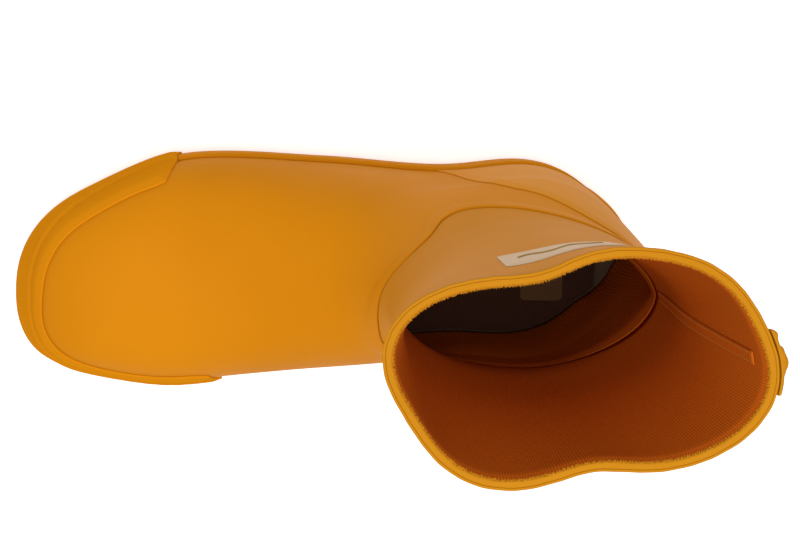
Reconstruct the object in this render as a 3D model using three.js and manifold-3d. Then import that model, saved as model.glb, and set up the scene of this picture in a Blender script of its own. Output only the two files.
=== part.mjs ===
// A short rubber deck boot for the right foot, in millimetres. +X runs to the toe, +Y to the
// inner side of the foot and +Z up; the tread stands on z = 0. The upper is built in layers:
// lining, stiffeners, leg panel, vamp, and the bands and patches laid over them.
import * as THREE from "three";
import { mergeVertices } from "three/addons/utils/BufferGeometryUtils.js";
import Module from "manifold-3d";

const wasm = await Module();
wasm.setup();

// Overall sizes.
const bootLength = 291; // heel to toe, over the vamp
const bootHeight = 255; // floor to the top of the rim
const ballWidth = 108; // across the ball of the foot, over the sole edge band
const rimWidth = 79; // across the top opening, outside
const instepHeight = 112; // floor to the instep, ahead of the ankle

// Walls and clearances.
const clearance = 0.3; // between layers that touch
const vampWall = 1.8;
const lapProud = 1.1; // how far the vamp's top edge stands out over the leg panel
const lapHeight = 8; // how far the leg panel runs down inside the vamp
const marginThin = 0.5; // what the leg panel's tucked margin loses to make room for it
const stiffenerWall = 0.8;
const liningWall = 1.8;
const treadDepth = 4;
const soleWall = 4.7; // outsole plate above the tread
const fillerWall = 2.7;
const boardWall = 2.5;
const footbedWall = 4.5;
const footbedRoom = 2; // between the loose footbed and the lining
const clothWall = 0.8;
const foxingHeight = 24; // sole edge band, floor to its top edge
const foxingWall = 2;
const toeCapWall = 1.8;
const toeCapHeight = 44;
const counterWall = 1.2;
const stayWidth = 24; // strip up the back of the leg
const stayWall = 1.6;
const ribWidth = 8.5; // ridge along the middle of that strip
const ribHeight = 2.9;
const beadHeight = 3.6; // rolled edge around the rim
const beadBulge = 0.6; // how far it stands out over the leg panel
const toeSpring = 5; // how far the toe lifts off the floor
const toeLean = 8; // how far the toe's foot stands out past its feather line
const lugPitch = 12; // tread bars, from one to the next
const lugLength = 8; // along the boot
const lugInset = 3; // from the sole's edge
const badgeLength = 44;
const badgeHeight = 28;
const labelLength = 20; // on the footbed, along the boot
const labelWidth = 42;
const labelWall = 0.4;

// Levels that the pieces share.
const plateTop = treadDepth + soleWall;
const fillerBase = plateTop + clearance;
const boardBase = fillerBase + fillerWall + clearance;
const boardTop = boardBase + boardWall;
const liningBase = boardTop + clearance;
const footbedBase = boardTop + 2 * clearance;
const footbedTop = footbedBase + footbedWall;
const clothTop = footbedTop + clearance + clothWall;
const beadBase = bootHeight - beadHeight;

// Places in the wall, outwards from the outer face of the vamp.
const insideVamp = -vampWall - clearance;
const stiffenerFace = insideVamp - stiffenerWall;
const footLiningFace = stiffenerFace - clearance;
const liningInside = footLiningFace - liningWall;
const overLeg = clearance;
const overFoxing = clearance + foxingWall + clearance;

const clamp = THREE.MathUtils.clamp;
const lerp = THREE.MathUtils.lerp;
const smooth = THREE.MathUtils.smoothstep;

// A smooth curve through points [place, value], flat outside them.
function curve(points) {
  const slopes = points.map((p, i) => {
    const a = points[Math.max(i - 1, 0)];
    const b = points[Math.min(i + 1, points.length - 1)];
    if (i === 0 || i === points.length - 1) return (b[1] - a[1]) / (b[0] - a[0]);
    const before = p[0] - a[0];
    const after = b[0] - p[0];
    const rise = ((p[1] - a[1]) / before) * after + ((b[1] - p[1]) / after) * before;
    return rise / (before + after);
  });
  return (x) => {
    const at = clamp(x, points[0][0], points[points.length - 1][0]);
    let i = 0;
    while (i < points.length - 2 && at > points[i + 1][0]) i += 1;
    const [x0, y0] = points[i];
    const [x1, y1] = points[i + 1];
    const h = x1 - x0;
    const t = (at - x0) / h;
    const s = 1 - t;
    return (
      (1 + 2 * t) * s * s * y0 + t * s * s * h * slopes[i] +
      t * t * (3 - 2 * t) * y1 - t * t * s * h * slopes[i + 1]
    );
  };
}

// The foot: half width, middle line and ridge height at shares of the length.
const featherLine = 24; // the foot is widest at this height, and domed above it
const ballHalf = ballWidth / 2 - foxingWall - clearance;
const halfWidth = curve([
  [0, 14], [0.155, 43], [0.326, 41.7], [0.515, 47], [0.739, ballHalf], [0.893, 49.4], [1, 57],
]);
const middleLine = curve([
  [0, -5], [0.155, -3], [0.326, -0.8], [0.515, 1.3], [0.739, 5.7], [0.893, 13.2], [1, 20.2],
]);
const ridge = curve([
  [0, 95], [0.206, instepHeight], [0.344, instepHeight - 2], [0.447, 98], [0.55, 82],
  [0.653, 69], [0.756, 60], [0.859, 54], [1, 50],
]);

// The opening is drawn out lengthwise and has gone a little out of true: order, cosine, sine.
const rimWaves = [[2, 4.3, -1.2], [3, 0.7, 0.9], [4, 0.6, -1.2], [5, 0.2, -1.1]];
const rimHalf = rimWidth / 2 - beadBulge + rimWaves[0][1];

// The leg: heights against the back line, front line, half width and so on.
const shaft = (share) => 130 + share * (bootHeight - 130);
const backLine = curve([
  [0, 6], [22, 6.3], [60, 22.8], [95, 15], [130, 9.9], [shaft(0.4), 9.7], [bootHeight, 3],
]);
const frontShare = bootLength / 291;
const frontLine = curve([
  [0, 90], [22, 105], [60, 110], [95, 124], [130, 128], [shaft(0.4), 129.5], [bootHeight, 131.6],
]);
const legHalfWidth = curve([
  [0, 33], [22, 35], [60, 28.5], [95, 33.7], [130, 35.3], [shaft(0.4), 35.5], [bootHeight, rimHalf],
]);
const legMiddle = curve([[0, -4.5], [60, -2.5], [130, -2.2], [bootHeight, -3.25]]);
const legTurn = curve([[0, 0], [60, 0], [130, 3], [bootHeight, 16]]); // degrees
const legSlant = curve([[0, 90], [60, 90], [130, 96], [bootHeight, 112.5]]); // degrees
const legCorner = curve([[0, 2], [60, 2], [130, 1.9], [shaft(0.56), 2.4], [bootHeight, 2.75]]);

// The toe bends up and rounds off from these shares of the length; its foot leans out.
const toeBend = 0.704;
const toeDome = 0.773;
const heelRound = 40;
const toeEnd = (z) =>
  bootLength - toeLean * clamp((z - treadDepth) / (featherLine - treadDepth), 0, 1);
const roundedOff = (t, power) => Math.max(1 - clamp(t, 0, 1) ** power, 1e-9) ** (1 / power);
const toeRound = (x, start, end) => roundedOff((x - start) / (end - start), 2.3);

// Everything about the foot that depends on x and the toe's end, and about the leg at height z.
function footSection(x, end) {
  const share = x / bootLength;
  const heelIn = (heelRound - x) / (heelRound - 2);
  const heel = roundedOff(heelIn, 2.2) * (0.9 + 0.1 * clamp(x / 90, 0, 1));
  return {
    a: halfWidth(share) * toeRound(x, toeBend * bootLength, end) * heel,
    b: (ridge(share) - featherLine) * toeRound(x, toeDome * bootLength, end),
    mid: middleLine(share),
  };
}

function legSection(z) {
  const back = backLine(z);
  const front = frontLine(z) * frontShare;
  const t1 = THREE.MathUtils.degToRad(legTurn(z));
  const t2 = THREE.MathUtils.degToRad(legSlant(z));
  return {
    midX: (back + front) / 2, midY: legMiddle(z), a: (front - back) / 2, b: legHalfWidth(z),
    n: legCorner(z), t1, t2, det: Math.sin(t2 - t1), end: toeEnd(z),
    spread: clamp((z - shaft(0.16)) / (bootHeight - shaft(0.16)), 0, 1) ** 2,
  };
}

// Signed distance, roughly, to the boot's outer face: negative inside.
function outside(x, y, z, leg) {
  const f = footSection(x, leg.end);
  const wide = f.a * (1 - 0.045 * (Math.max(featherLine - z, 0) / featherLine) ** 2);
  const v = y - f.mid;
  const w = Math.max(z - featherLine, 0);
  const footRho = ((Math.abs(v) / wide) ** 2.35 + (w / f.b) ** 2.35) ** (1 / 2.35);
  let foot = footRho < 1e-6 ? -Math.min(wide, f.b) : Math.hypot(v, w) * (1 - 1 / footRho);
  if (x >= leg.end || x <= 2) foot = Math.max(50, foot);
  const dx = x - leg.midX;
  const dy = y - leg.midY;
  const p = (dx * Math.sin(leg.t2) - dy * Math.cos(leg.t2)) / leg.det;
  const q = (dy * Math.cos(leg.t1) - dx * Math.sin(leg.t1)) / leg.det;
  const legRho = ((Math.abs(p) / leg.a) ** leg.n + (Math.abs(q) / leg.b) ** leg.n) ** (1 / leg.n);
  let shaftWall = legRho < 1e-6 ? -leg.b : Math.hypot(dx, dy) * (1 - 1 / legRho);
  const angle = Math.atan2(dy, dx);
  for (const [order, cosine, sine] of leg.spread > 0 ? rimWaves : []) {
    shaftWall -= leg.spread * (cosine * Math.cos(order * angle) + sine * Math.sin(order * angle));
  }
  const blend = 34 * clamp((z - 20) / 50, 0.02, 1);
  const near = Math.max(blend - Math.abs(foot - shaftWall), 0) / blend;
  return Math.min(foot, shaftWall) - (near * near * blend) / 4;
}

// One level's outline, sampled at the shared columns: 0 at the back of the heel, then the outer
// side, the toe or shin at a half, and the inner side. Columns crowd at the toe and the heel.
const columnCount = 40;
const rayCount = 360;
const columns = Array.from({ length: columnCount }, (_, k) => {
  const s = k / columnCount;
  return s - (0.35 * Math.sin(4 * Math.PI * s)) / (4 * Math.PI);
});

function outline(z) {
  const leg = legSection(z);
  const up = smooth(z, 30, 105);
  const cx = lerp(145, 66, up) * frontShare;
  const cy = lerp(-3, -7, up);
  const ring = [];
  for (let i = 0; i <= rayCount; i += 1) {
    const angle = -Math.PI + (2 * Math.PI * i) / rayCount;
    const [c, s] = [Math.cos(angle), Math.sin(angle)];
    let [lo, hi] = [0, 235 * Math.max(frontShare, 1)];
    for (let step = 0; step < 26; step += 1) {
      const r = (lo + hi) / 2;
      if (outside(cx + r * c, cy + r * s, z, leg) < 0) lo = r;
      else hi = r;
    }
    ring.push(new THREE.Vector2(cx + lo * c, cy + lo * s));
  }
  const sides = [ring.slice(0, rayCount / 2 + 1), ring.slice(rayCount / 2)];
  const lengths = sides.map((side) => {
    const run = [0];
    for (let i = 1; i < side.length; i += 1) run.push(run[i - 1] + side[i].distanceTo(side[i - 1]));
    return run;
  });
  const points = columns.map((u) => {
    const half = u < 0.5 ? 0 : 1;
    const run = lengths[half];
    const want = (u * 2 - half) * run[run.length - 1];
    let i = 1;
    while (i < run.length - 1 && run[i] < want) i += 1;
    return sides[half][i - 1].clone().lerp(sides[half][i], (want - run[i - 1]) / (run[i] - run[i - 1]));
  });
  const normals = points.map((p) => {
    const h = 0.5;
    const n = new THREE.Vector3(
      outside(p.x + h, p.y, z, leg) - outside(p.x - h, p.y, z, leg),
      outside(p.x, p.y + h, z, leg) - outside(p.x, p.y - h, z, leg),
      outside(p.x, p.y, z + h, legSection(z + h)) - outside(p.x, p.y, z - h, legSection(z - h)),
    );
    n.z *= z < featherLine ? 0 : clamp((bootHeight - 6 - z) / 15, 0, 1);
    return n.normalize();
  });
  const around = lengths[0][lengths[0].length - 1] + lengths[1][lengths[1].length - 1];
  return { points, normals, around };
}

const levelStep = 3;
const levels = [];
for (let z = 0; z <= bootHeight + levelStep; z += levelStep) levels.push(outline(z));

// A place on one level: straight between two columns, so that every layer's facets lie parallel.
function onLevel(level, u, offset) {
  const turn = u - Math.floor(u);
  let k = columnCount - 1;
  while (columns[k] > turn + 1e-9) k -= 1;
  const next = (k + 1) % columnCount;
  const span = (next === 0 ? 1 : columns[next]) - columns[k];
  const t = (turn - columns[k]) / span;
  const corner = (i) => {
    const { x, y } = level.points[i];
    return new THREE.Vector3(x, y, 0).addScaledVector(level.normals[i], offset);
  };
  return corner(k).lerp(corner(next), t);
}

// The point of the boot at column u and height z, moved out of the face by offset.
function place(u, z, offset) {
  const i = Math.min(Math.floor(z / levelStep), levels.length - 2);
  const t = z / levelStep - i;
  const p = onLevel(levels[i], u, offset).lerp(onLevel(levels[i + 1], u, offset), t);
  p.z += z;
  return p;
}

const aroundAt = (z) => levels[Math.min(Math.round(z / levelStep), levels.length - 1)].around;
const springAt = (x) =>
  toeSpring * clamp((x / bootLength - toeBend) / (1 - toeBend), 0, 1) ** 2;

// A solid from quads and triangles of points: shared corners merged, empty triangles dropped.
function solid(faces) {
  const flat = [];
  for (const face of faces) {
    for (let i = 1; i < face.length - 1; i += 1) {
      const [a, b, c] = [face[0], face[i], face[i + 1]];
      const small = Math.min(a.distanceTo(b), b.distanceTo(c), c.distanceTo(a)) < 1e-3;
      if (!small) flat.push(a.x, a.y, a.z, b.x, b.y, b.z, c.x, c.y, c.z);
    }
  }
  const loose = new THREE.BufferGeometry();
  loose.setAttribute("position", new THREE.Float32BufferAttribute(flat, 3));
  return mergeVertices(loose, 1e-3);
}

// A curved sheet with a thickness: rows of points inside and outside, closed at its edges.
function sheet(outer, inner, closed) {
  const faces = [];
  const width = outer[0].length;
  const last = outer.length - 1;
  const spans = closed ? width : width - 1;
  for (let i = 0; i < spans; i += 1) {
    const n = (i + 1) % width;
    for (let j = 0; j < last; j += 1) {
      faces.push([outer[j][i], outer[j][n], outer[j + 1][n], outer[j + 1][i]]);
      faces.push([inner[j][i], inner[j + 1][i], inner[j + 1][n], inner[j][n]]);
    }
    faces.push([outer[last][i], outer[last][n], inner[last][n], inner[last][i]]);
    faces.push([outer[0][n], outer[0][i], inner[0][i], inner[0][n]]);
  }
  if (!closed) {
    for (let j = 0; j < last; j += 1) {
      const e = width - 1;
      faces.push([inner[j][0], outer[j][0], outer[j + 1][0], inner[j + 1][0]]);
      faces.push([outer[j][e], inner[j][e], inner[j + 1][e], outer[j + 1][e]]);
    }
  }
  return solid(faces);
}

// The columns between two places around the boot, with both ends; from > to is not allowed.
function columnsBetween(from, to) {
  const inside = [];
  for (let turn = -1; turn <= 1; turn += 1) {
    inside.push(...columns.map((u) => u + turn).filter((u) => u > from + 1e-6 && u < to - 1e-6));
  }
  return [from, ...inside, to];
}

// A layer of the upper. rows is a list of functions of u that give heights, or plain heights;
// inner and outer are offsets, plain or functions of u and the row's number.
function layer({ rows, inner, outer, from, to }) {
  const closed = from === undefined;
  const us = closed ? columns : columnsBetween(from, to);
  const value = (v, ...args) => (typeof v === "function" ? v(...args) : v);
  const face = (offset) =>
    rows.map((row, j) => us.map((u) => place(u, value(row, u), value(offset, u, j))));
  return sheet(face(outer), face(inner), closed);
}

// Heights shared by all the low layers, close together where the toe is domed.
const sharedRows = [9, 15, 24, 31, 38, 44, 49, 54, 61, 70, 82];
const rowsBetween = (low, high) => [
  low, ...sharedRows.filter((z) => z > low + 1 && z < high - 1), high,
];

// A flat board that fills the outline between two places along the boot, from one rib to the
// next across it. uAt finds where a side reaches a place along the boot.
function uAt(x, z, side) {
  let [lo, hi] = [0, 0.5];
  for (let step = 0; step < 24; step += 1) {
    const mid = (lo + hi) / 2;
    if (place(side > 0 ? 1 - mid : mid, z, 0).x < x) lo = mid;
    else hi = mid;
  }
  return (lo + hi) / 2;
}

function board({ low, high, offset, fromX = -Infinity, toX = Infinity }) {
  const z = (low + high) / 2;
  const ends = [-1, 1].map((side) => [uAt(fromX, z, side), uAt(toX, z, side)]);
  const outerEnds = ends[0];
  const ribs = columnsBetween(outerEnds[0], outerEnds[1]).filter(
    (u) => u >= outerEnds[0] - 1e-9 && u <= outerEnds[1] + 1e-9,
  );
  const span = outerEnds[1] - outerEnds[0];
  const pair = (u, height) => {
    const t = (u - outerEnds[0]) / span;
    const across = 1 - lerp(ends[1][0], ends[1][1], t);
    return [place(u, height, offset), place(across, height, offset)];
  };
  const top = ribs.map((u) => pair(u, high));
  const base = ribs.map((u) => pair(u, low));
  const faces = [];
  for (let i = 0; i < ribs.length - 1; i += 1) {
    const [a, b, c, d] = [top[i], top[i + 1], base[i], base[i + 1]];
    faces.push([a[0], b[0], b[1], a[1]]);
    faces.push([c[1], d[1], d[0], c[0]]);
    faces.push([c[0], d[0], b[0], a[0]]);
    faces.push([d[1], c[1], a[1], b[1]]);
  }
  const e = ribs.length - 1;
  faces.push([base[0][1], base[0][0], top[0][0], top[0][1]]);
  faces.push([base[e][0], base[e][1], top[e][1], top[e][0]]);
  return solid(faces);
}

// Booleans on closed geometries.
function toManifold(geometry) {
  const bare = new THREE.BufferGeometry();
  bare.setAttribute("position", geometry.getAttribute("position"));
  if (geometry.index) bare.setIndex(geometry.index);
  const merged = mergeVertices(bare, 1e-3);
  return new wasm.Manifold(
    new wasm.Mesh({
      numProp: 3,
      vertProperties: new Float32Array(merged.attributes.position.array),
      triVerts: new Uint32Array(merged.index.array),
    }),
  );
}

function toGeometry(manifold) {
  const mesh = manifold.getMesh();
  const geometry = new THREE.BufferGeometry();
  geometry.setAttribute("position", new THREE.BufferAttribute(mesh.vertProperties, 3));
  geometry.setIndex(new THREE.BufferAttribute(mesh.triVerts, 1));
  return geometry;
}

const keepInside = (geometry, cutter) => toGeometry(toManifold(geometry).intersect(toManifold(cutter)));
const joined = (geometries) =>
  toGeometry(geometries.map(toManifold).reduce((whole, next) => whole.add(next)));

// A side-view outline of [x, z] points, drawn through the boot across its width or part of it.
function sideCutter(points, fromY = -ballWidth, toY = ballWidth) {
  const shape = new THREE.Shape(points.map(([x, z]) => new THREE.Vector2(x, z)));
  const block = new THREE.ExtrudeGeometry(shape, { depth: toY - fromY, bevelEnabled: false });
  block.rotateX(Math.PI / 2);
  block.translate(0, toY, 0);
  return block;
}

// A rounded rectangle in side view, for the badge and the patches.
function roundedPoints(cx, cz, length, height, radius, steps = 4) {
  const corners = [[1, 1, 0], [-1, 1, 1], [-1, -1, 2], [1, -1, 3]];
  return corners.flatMap(([sx, sz, quarter]) =>
    Array.from({ length: steps + 1 }, (_, i) => {
      const angle = (quarter + i / steps) * (Math.PI / 2);
      return [
        cx + sx * (length / 2 - radius) + radius * Math.cos(angle),
        cz + sz * (height / 2 - radius) + radius * Math.sin(angle),
      ];
    }),
  );
}

// Seams. The vamp's top edge circles the ankle; u is the place around the boot. The leg panel
// runs down inside it to lapStep, where the vamp moves out to let it in.
const ankleSeam = curve([
  [0, 124], [0.1, 124], [0.17, 121.5], [0.23, 115.5], [0.27, 109.5], [0.3, 105], [0.335, 103],
  [0.365, 107], [0.4, 117], [0.45, 121.8], [0.5, 117], [0.56, 104.5], [0.6, 96], [0.64, 93],
  [0.69, 94.5], [0.78, 103], [0.88, 116], [1, 124],
]);
const seamAt = (u) => ankleSeam(u - Math.floor(u));
const lapStep = (u) => seamAt(u) - lapHeight;
const lapBase = (u) => lapStep(u) - 1;
const midRow = (u) => lerp(82, lapBase(u), 0.5); // halfway from the top shared row to the lap
const ledge = (u) => seamAt(u) + 0.6;
const liningJoint = (u) => seamAt(u) + 1;
const share = (x) => x * frontShare;

// Rubber and fabric finishes.
const finishes = {
  rubber: { color: 0xd68a1e, roughness: 0.5 },
  rubberLeg: { color: 0xc88428, roughness: 0.5 },
  rubberTrim: { color: 0xcf8a2a, roughness: 0.45 },
  tread: { color: 0xb87618, roughness: 0.7 },
  lining: { color: 0x8a430f, roughness: 0.95 },
  felt: { color: 0x5d4a38, roughness: 0.9 },
  board: { color: 0x8d7656, roughness: 0.85 },
  steel: { color: 0x8f9396, roughness: 0.35, metalness: 1 },
  badge: { color: 0xcbb8a4, roughness: 0.4 },
  gold: { color: 0xb78a35, roughness: 0.35 },
};

const boot = new THREE.Group();

// Adds one named sub-part, with the toe's lift given to every corner of it.
function add(name, geometry, finish) {
  const lifted = geometry.clone();
  const position = lifted.getAttribute("position");
  for (let i = 0; i < position.count; i += 1) {
    position.setZ(i, position.getZ(i) + springAt(position.getX(i)));
  }
  for (const extra of ["normal", "uv"]) lifted.deleteAttribute(extra);
  lifted.computeVertexNormals();
  const mesh = new THREE.Mesh(
    lifted,
    new THREE.MeshStandardMaterial({ metalness: 0, ...finishes[finish] }),
  );
  mesh.name = name;
  boot.add(mesh);
}

// Outsole: a plate with tread bars under the forefoot and the heel, and a bare arch between.
function outsole() {
  const pieces = [board({ low: treadDepth, high: plateTop, offset: 0 })];
  const bars = (from, to) => {
    for (let x = from; x + lugLength <= to; x += lugPitch) {
      const bar = { low: 0, high: treadDepth + 0.2, offset: -lugInset };
      pieces.push(board({ ...bar, fromX: x, toX: x + lugLength }));
    }
  };
  bars(share(12), share(92));
  bars(share(128), share(284));
  return joined(pieces);
}

// Fillers level the space under the insole board, around the steel shank in the arch.
const shankWidth = 18;
const shankFrom = share(72);
const shankTo = share(168);
function filler(fromX, toX) {
  const core = { low: fillerBase, high: fillerBase + fillerWall, offset: insideVamp };
  return board({ ...core, fromX, toX });
}
function shank() {
  const points = roundedPoints((shankFrom + shankTo) / 2, 0, shankTo - shankFrom, shankWidth, 8);
  const shape = new THREE.Shape(points.map(([x, y]) => new THREE.Vector2(x, y)));
  const bar = new THREE.ExtrudeGeometry(shape, { depth: fillerWall - 0.4, bevelEnabled: false });
  return bar.translate(0, 0, fillerBase + 0.2);
}

// Vamp: the moulded lower shell, open at the sole and at the ankle. Its top edge stands proud
// over the leg panel's margin.
const lapRows = [lapBase, lapStep, seamAt];
function vamp() {
  const rows = [...rowsBetween(fillerBase, 82), midRow, ...lapRows];
  const lap = rows.length - 2;
  return layer({
    rows,
    inner: (u, j) => (j < lap ? -vampWall : clearance - marginThin),
    outer: (u, j) => [0, 0.5 * lapProud, lapProud][Math.max(j - lap + 1, 0)],
  });
}

// Leg panel: its thinned margin lies inside the vamp, and above the seam it is full thickness.
const legFoot = (u) => liningJoint(u) + clearance;
const legRows = [0.08, 0.2, 0.4, 0.6, 0.8].map(
  (t) => (u) => lerp(legFoot(u), beadBase - clearance, t),
);
function leg() {
  const rows = [lapStep, seamAt, ledge, legFoot, ...legRows, () => beadBase - clearance];
  return layer({ rows, inner: -vampWall, outer: (u, j) => (j < 2 ? -marginThin : 0) });
}

// Rolled rim: a rubber bead that caps the leg panel's top edge.
function collarBead() {
  const steps = [0, 0.3, 0.7, 1];
  const bulge = (j) => beadBulge * Math.sin(Math.PI * clamp(steps[j], 0.1, 0.9));
  return layer({
    rows: steps.map((t) => beadBase + t * beadHeight),
    inner: -vampWall,
    outer: (u, j) => bulge(j),
  });
}

// Back stay: a strip with a raised rib up the back of the leg, standing out over the bead.
function backStay() {
  const low = Math.max(seamAt(0), shaft(-0.04)) + 4;
  const half = stayWidth / 2;
  const rib = ribWidth / 2;
  const across = [-half, -rib - 1, -rib, 0, rib, rib + 1, half];
  const rows = [low, ...legRows.map((row) => row(0)), beadBase - 2, beadBase, bootHeight - clearance];
  const beadRows = 2;
  const face = (offsetAt) =>
    rows.map((z, j) => across.map((w) => place(w / aroundAt(z), z, offsetAt(w, j))));
  const under = (w, j) => overLeg + clearance + (j >= rows.length - beadRows ? beadBulge : 0);
  const over = (w, j) => under(w, j) + stayWall + (Math.abs(w) <= rib ? ribHeight : 0);
  return sheet(face(over), face(under), false);
}

// Heel counter: a rubber patch wrapped round the heel, from the foxing to under the seam.
const counterEdge = [
  [98, foxingHeight + clearance], [92, 35], [87, 51], [81, 67], [71, 81.5], [60, 91.5],
  [50, 101], [40, 109], [20, 114], [-20, 115],
].map(([x, z]) => [share(x), z]);
function heelCounter() {
  const base = foxingHeight + clearance;
  const skin = layer({
    rows: [...rowsBetween(base, 82), midRow, lapBase],
    inner: clearance, outer: clearance + counterWall, from: -0.28, to: 0.28,
  });
  return keepInside(skin, sideCutter([...counterEdge, [share(-20), base - 1], [share(99), base - 1]]));
}

// Foxing: the band that joins the upper to the edge of the outsole.
function foxing() {
  return layer({
    rows: rowsBetween(treadDepth - 0.7, foxingHeight),
    inner: clearance, outer: clearance + foxingWall,
  });
}

// Toe cap: a bumper over the foxing, wrapped round the toe. It reaches further back on the
// inner side, and each end has a clipped top corner.
const toeCapOuterEnd = share(219);
const toeCapInnerEnd = share(198);
const toeCapFront = 33.5; // height of its top edge at the tip of the toe
function toeCap() {
  const low = rowsBetween(treadDepth, foxingHeight + clearance);
  const high = sharedRows.filter((z) => z > foxingHeight + 3 && z < toeCapHeight + 4);
  const under = (u, j) => (j < low.length ? overFoxing : clearance);
  const skin = layer({
    rows: [...low, foxingHeight + 2, ...high],
    inner: under,
    outer: (u, j) => under(u, j) + toeCapWall,
    from: 0.27, to: 0.73,
  });
  const front = bootLength + 20;
  const half = (start, top, fromY, toY) => {
    const outline = [[start - 3, 0], [front, 0], [front, toeCapFront], [share(281), toeCapFront]];
    outline.push(...top.map(([x, z]) => [share(x), z]));
    outline.push([start + 1.6, toeCapHeight - 1.6], [start, toeCapHeight - 6]);
    return sideCutter(outline, fromY, toY);
  };
  const tipY = middleLine(1);
  const outerTop = [[273, 36.5], [261, 38.9], [237, 42.4], [225, toeCapHeight]];
  const innerTop = [[266, 36], [241, 37.5], [226, 40.5], [212, toeCapHeight]];
  return keepInside(skin, joined([
    half(toeCapOuterEnd, outerTop, -ballWidth, tipY), half(toeCapInnerEnd, innerTop, tipY, ballWidth),
  ]));
}

// Stiffeners lie between the vamp and the lining: at the heel, in the toe and over the ankles.
function stiffener(rows, from, to, points) {
  const skin = layer({ rows, inner: stiffenerFace, outer: insideVamp, from, to });
  return keepInside(skin, sideCutter(points));
}
function heelStiffener() {
  const base = liningBase + 1;
  const points = [[78, base - 1], [76, 40], [66, 62], [48, 74], [-20, 80], [-20, base - 1]];
  return stiffener(rowsBetween(base, 82), -0.2, 0.2, points.map(
    ([x, z]) => [share(x), z]));
}
function toePuff() {
  const base = liningBase + 1;
  const points = [[232, base - 1], [330, base - 1], [330, 45], [240, 45]];
  return stiffener(rowsBetween(base, 49), 0.3, 0.7, points.map(
    ([x, z]) => [share(x), z]));
}
function anklePatch(side) {
  const [from, to] = side < 0 ? [0.06, 0.34] : [0.66, 0.94];
  const rows = sharedRows.slice(-4);
  return stiffener(rows, from, to, roundedPoints(share(92), 69, 34, 22, 10));
}

// Lining: a knitted sock in two lengths, with a tape over the seam at the back of the leg.
function footLining() {
  const low = rowsBetween(liningBase, 82);
  const rows = [...low, midRow, lapBase, (u) => liningJoint(u) - clearance];
  return layer({ rows, inner: liningInside, outer: footLiningFace });
}
function legLining() {
  const rows = [legFoot, ...legRows, beadBase + beadHeight / 2];
  return layer({ rows, inner: insideVamp - liningWall, outer: insideVamp });
}
function liningTape() {
  const face = insideVamp - liningWall - clearance;
  const low = seamAt(0) + 8;
  const rows = [0, 0.2, 0.4, 0.6, 0.8, 1].map((t) => lerp(low, bootHeight - 10, t));
  const across = [-3, 0, 3];
  const at = (offset) => rows.map((z) => across.map((w) => place(w / aroundAt(z), z, offset)));
  return sheet(at(face), at(face - 0.7), false);
}

// Badge on the outer side of the leg, under the rim, with a plain wave in place of a mark.
const badgeX = share(72);
const badgeZ = bootHeight - 37;
const badgeWall = 0.6;
function onBadge(points, under, wall) {
  const rows = [-1, -0.6, -0.2, 0.2, 0.6, 1].map((t) => badgeZ + t * (badgeHeight / 2 + 2));
  const skin = layer({ rows, inner: under, outer: under + wall, from: 0.1, to: 0.42 });
  return keepInside(skin, sideCutter(points));
}
const badgePlate = () =>
  onBadge(roundedPoints(badgeX, badgeZ, badgeLength, badgeHeight, 1.5), overLeg, badgeWall);
function badgeWave() {
  const reach = badgeLength * 0.36;
  const steps = 16;
  const edge = (shift) =>
    Array.from({ length: steps + 1 }, (_, i) => {
      const t = (2 * i) / steps - 1;
      return [badgeX + t * reach, badgeZ + 1.6 * Math.sin(t * 2 * Math.PI) + shift];
    });
  const line = [...edge(-0.9), ...edge(0.9).reverse()];
  return onBadge(line, overLeg + badgeWall + clearance, 0.4);
}

// Footbed: a loose foam sole with a cloth face and a blank label at the heel.
const footbedOffset = liningInside - footbedRoom;
const footbedHeel = backLine(22) - footbedOffset + 3;
const footbedToe = bootLength + footbedOffset - 2;
function footbedLayer(low, high) {
  return board({ low, high, offset: footbedOffset, fromX: footbedHeel, toX: footbedToe });
}
function footbedLabel() {
  const labelMiddle = middleLine(0.155) + 1;
  const shape = new THREE.Shape(
    roundedPoints(share(46), labelMiddle, labelLength, labelWidth, 2).map(([x, y]) => new THREE.Vector2(x, y)),
  );
  const tag = new THREE.ExtrudeGeometry(shape, { depth: labelWall, bevelEnabled: false });
  return tag.translate(0, 0, clothTop + clearance);
}

add("outsole", outsole(), "tread");
add("heel_filler", filler(-Infinity, shankFrom - clearance), "felt");
add("forefoot_filler", filler(shankTo + clearance, Infinity), "felt");
add("shank", shank(), "steel");
add("insole_board", board({ low: boardBase, high: boardTop, offset: insideVamp }), "board");
add("vamp", vamp(), "rubber");
add("leg", leg(), "rubberLeg");
add("heel_counter", heelCounter(), "rubberTrim");
add("toe_cap", toeCap(), "rubber");
add("foxing_band", foxing(), "rubberTrim");
add("back_stay", backStay(), "rubberTrim");
add("collar_bead", collarBead(), "rubberTrim");
add("heel_stiffener", heelStiffener(), "felt");
add("toe_puff", toePuff(), "felt");
add("ankle_patch_outer", anklePatch(-1), "felt");
add("ankle_patch_inner", anklePatch(1), "felt");
add("foot_lining", footLining(), "lining");
add("leg_lining", legLining(), "lining");
add("lining_tape", liningTape(), "lining");
add("badge_plate", badgePlate(), "badge");
add("badge_wave", badgeWave(), "gold");
add("footbed", footbedLayer(footbedBase, footbedTop), "felt");
add("footbed_cloth", footbedLayer(footbedTop + clearance, clothTop), "lining");
add("footbed_label", footbedLabel(), "board");

// The origin is at the middle of the underside.
const box = new THREE.Box3().setFromObject(boot);
boot.position.set(-(box.min.x + box.max.x) / 2, -(box.min.y + box.max.y) / 2, -box.min.z);

export default boot;
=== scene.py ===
import math

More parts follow.
